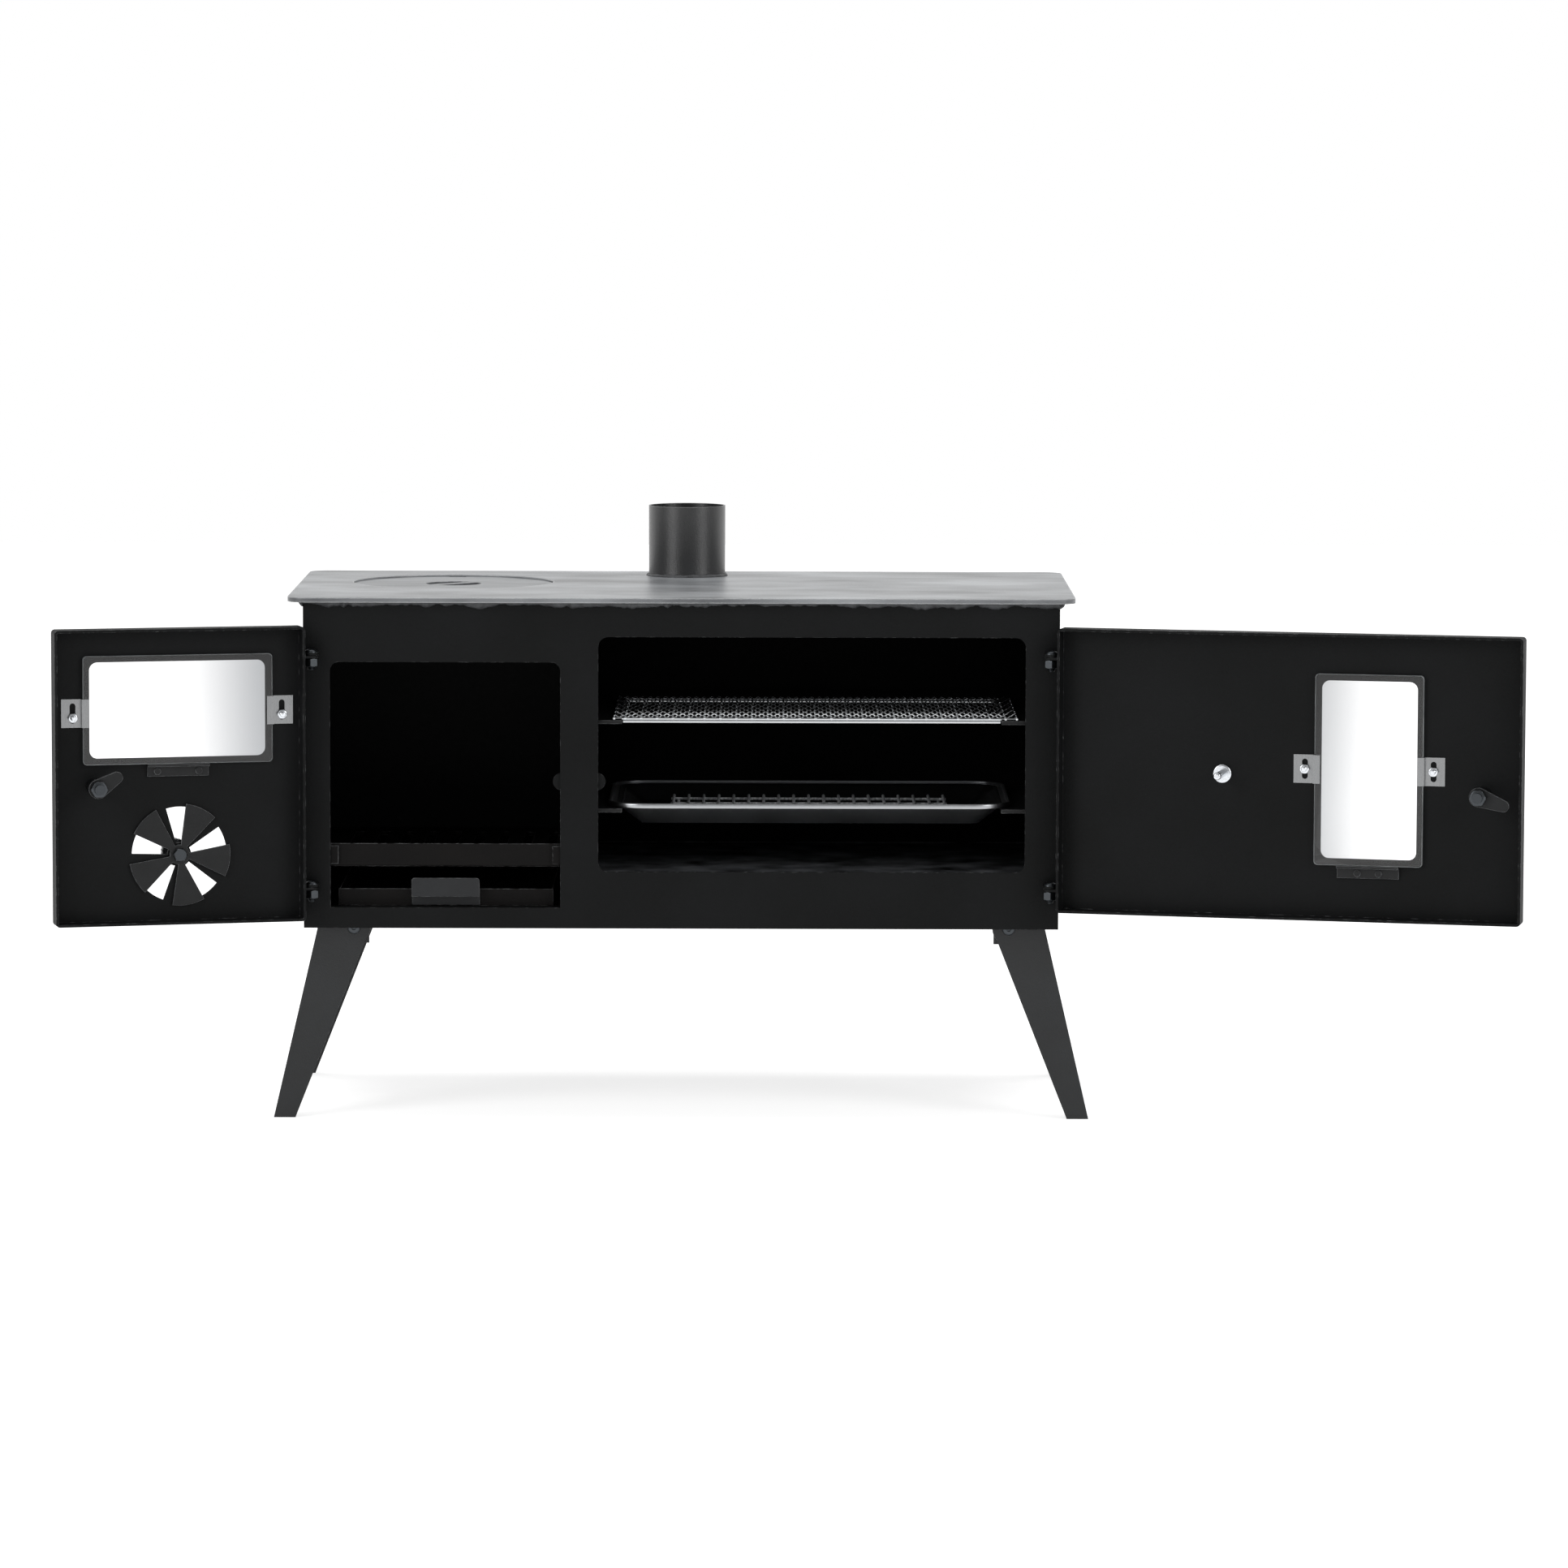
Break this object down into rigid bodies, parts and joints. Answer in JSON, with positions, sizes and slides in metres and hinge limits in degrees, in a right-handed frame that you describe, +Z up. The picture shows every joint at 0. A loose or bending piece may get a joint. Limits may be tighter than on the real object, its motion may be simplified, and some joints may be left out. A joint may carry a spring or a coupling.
{
  "type": "tent wood stove",
  "caption": "Portable steel wood stove for a tent: glazed firebox and oven with doors that swing wide, hob with lift-out lid, flue collar, ash drawer and folding legs.",
  "frame": {"origin": "middle of the footprint of the whole stove with its doors open, on the floor", "axes": "+Z up, +Y from the doors to the back, +X to the right as seen from the front"},
  "size_m": [1.155, 0.4232, 0.477],
  "materials": {
    "stove_paint": "matte high-temperature paint",
    "hob_steel": "worn matte high-temperature paint",
    "lid_steel": "matte",
    "collar_paint": "satin high-temperature paint",
    "firebox_steel": "matte",
    "ash_tray_steel": "matte",
    "black_fasteners": "black oxide",
    "ceramic_glass": "clear",
    "stainless_clips": "brushed",
    "bright_fasteners": "bright zinc",
    "bright_wire": "bright",
    "tray_steel": "bright stainless",
    "thermometer_steel": "satin",
    "dial_paint": "matte",
    "needle_paint": "matte",
    "dial_glass": "clear",
    "grip_steel": "bright coil"
  },
  "bodies": {
    "stove_body": {"body_shell": "stove_paint", "face_plate": "stove_paint", "fire_grate": "firebox_steel", "floor_plate": "stove_paint", "flue_collar": "collar_paint", "grate_ledges": "firebox_steel", "hinge_bolts": "black_fasteners", "hinge_lugs_body": "stove_paint", "hinge_nuts": "black_fasteners", "latch_catch": "stove_paint", "leg_bolts": "black_fasteners", "leg_brackets": "stove_paint", "leg_nuts": "black_fasteners", "lid_ring": "lid_steel", "log_retainer": "firebox_steel", "oven_box": "stove_paint", "rack_rails": "stove_paint", "top_plate": "hob_steel", "top_weld": "hob_steel"},
    "firebox_door": {"firebox_door_pan": "stove_paint", "firebox_door_lugs": "stove_paint", "firebox_glass": "ceramic_glass", "firebox_glass_clips": "stainless_clips", "firebox_clip_bolts": "bright_fasteners", "firebox_glass_ledge": "stove_paint"},
    "firebox_latch": {"firebox_latch_spindle": "stove_paint", "firebox_latch_pawl": "stove_paint", "firebox_latch_nut": "black_fasteners", "firebox_latch_grip": "grip_steel"},
    "air_vent": {"vent_disc": "stove_paint", "vent_bolt": "black_fasteners", "vent_knob": "grip_steel"},
    "oven_door": {"oven_door_pan": "stove_paint", "oven_door_lugs": "stove_paint", "oven_glass": "ceramic_glass", "oven_glass_clips": "stainless_clips", "oven_clip_bolts": "bright_fasteners", "oven_glass_ledge": "stove_paint", "thermometer_case": "thermometer_steel", "thermometer_dial": "dial_paint", "thermometer_lens": "dial_glass", "thermometer_stem": "bright_fasteners", "thermometer_nut": "bright_fasteners"},
    "oven_latch": {"oven_latch_spindle": "stove_paint", "oven_latch_pawl": "stove_paint", "oven_latch_nut": "black_fasteners", "oven_latch_grip": "grip_steel"},
    "thermometer_pointer": {"thermometer_needle": "needle_paint"},
    "lid": {"cooking_lid": "lid_steel", "lid_well": "lid_steel"},
    "ash_drawer": {"ash_tray": "ash_tray_steel", "ash_handle": "ash_tray_steel"},
    "upper_rack": {"oven_rack_frame": "bright_wire", "oven_rack_mesh": "bright_wire"},
    "tray": {"roasting_tray": "tray_steel"},
    "tray_insert": {"tray_rack": "bright_wire"},
    "front_left_leg": {"leg_front_left": "stove_paint"},
    "front_right_leg": {"leg_front_right": "stove_paint"},
    "back_left_leg": {"leg_back_left": "stove_paint"},
    "back_right_leg": {"leg_back_right": "stove_paint"}
  },
  "joints": [
    {"name": "firebox_door_hinge", "type": "hinge", "parent": "stove_body", "child": "firebox_door", "pos_m": [-0.37601, -0.10343, 0.189], "axis": [0, 0, -1], "range_deg": [-165.5, 4]},
    {"name": "oven_door_hinge", "type": "hinge", "parent": "stove_body", "child": "oven_door", "pos_m": [0.20999, -0.10343, 0.189], "axis": [0, 0, 1], "range_deg": [-166.3, 4]},
    {"name": "firebox_latch_turn", "type": "hinge", "parent": "firebox_door", "child": "firebox_latch", "pos_m": [-0.54607, -0.1376, 0.2722], "axis": [-0.2504, 0.9681, 0], "range_deg": [-149.5, 30.5]},
    {"name": "oven_latch_turn", "type": "hinge", "parent": "oven_door", "child": "oven_latch", "pos_m": [0.54596, -0.17555, 0.2722], "axis": [0.2368, 0.9715, 0], "range_deg": [-18.4, 71.6]},
    {"name": "air_vent_turn", "type": "hinge", "parent": "firebox_door", "child": "air_vent", "pos_m": [-0.48, -0.12051, 0.2165], "axis": [-0.2504, 0.9681, 0], "range_deg": [-24, 12]},
    {"name": "thermometer_turn", "type": "hinge", "parent": "oven_door", "child": "thermometer_pointer", "pos_m": [0.34505, -0.12657, 0.2835], "axis": [-0.2368, -0.9715, 0], "range_deg": [0, 270]},
    {"name": "lid_lift", "type": "slide", "parent": "stove_body", "child": "lid", "axis": [0, 0, 1], "range_m": [0, 0.1]},
    {"name": "ash_drawer_slide", "type": "slide", "parent": "stove_body", "child": "ash_drawer", "axis": [0, -1, 0], "range_m": [0, 0.24]},
    {"name": "upper_rack_slide", "type": "slide", "parent": "stove_body", "child": "upper_rack", "axis": [0, -1, 0], "range_m": [0, 0.15]},
    {"name": "roasting_tray_slide", "type": "slide", "parent": "stove_body", "child": "tray", "axis": [0, -1, 0], "range_m": [0, 0.15]},
    {"name": "tray_rack_lift", "type": "slide", "parent": "tray", "child": "tray_insert", "axis": [0, 0, 1], "range_m": [0, 0.05]},
    {"name": "front_left_leg_fold", "type": "hinge", "parent": "stove_body", "child": "front_left_leg", "pos_m": [-0.34431, -0.07443, 0.153], "axis": [0, -1, 0], "range_deg": [0, 105]},
    {"name": "front_right_leg_fold", "type": "hinge", "parent": "stove_body", "child": "front_right_leg", "pos_m": [0.17829, -0.07443, 0.153], "axis": [0, 1, 0], "range_deg": [0, 105]},
    {"name": "back_left_leg_fold", "type": "hinge", "parent": "stove_body", "child": "back_left_leg", "pos_m": [-0.34431, 0.18557, 0.153], "axis": [0, -1, 0], "range_deg": [0, 105]},
    {"name": "back_right_leg_fold", "type": "hinge", "parent": "stove_body", "child": "back_right_leg", "pos_m": [0.17829, 0.18557, 0.153], "axis": [0, 1, 0], "range_deg": [0, 105]}
  ]
}
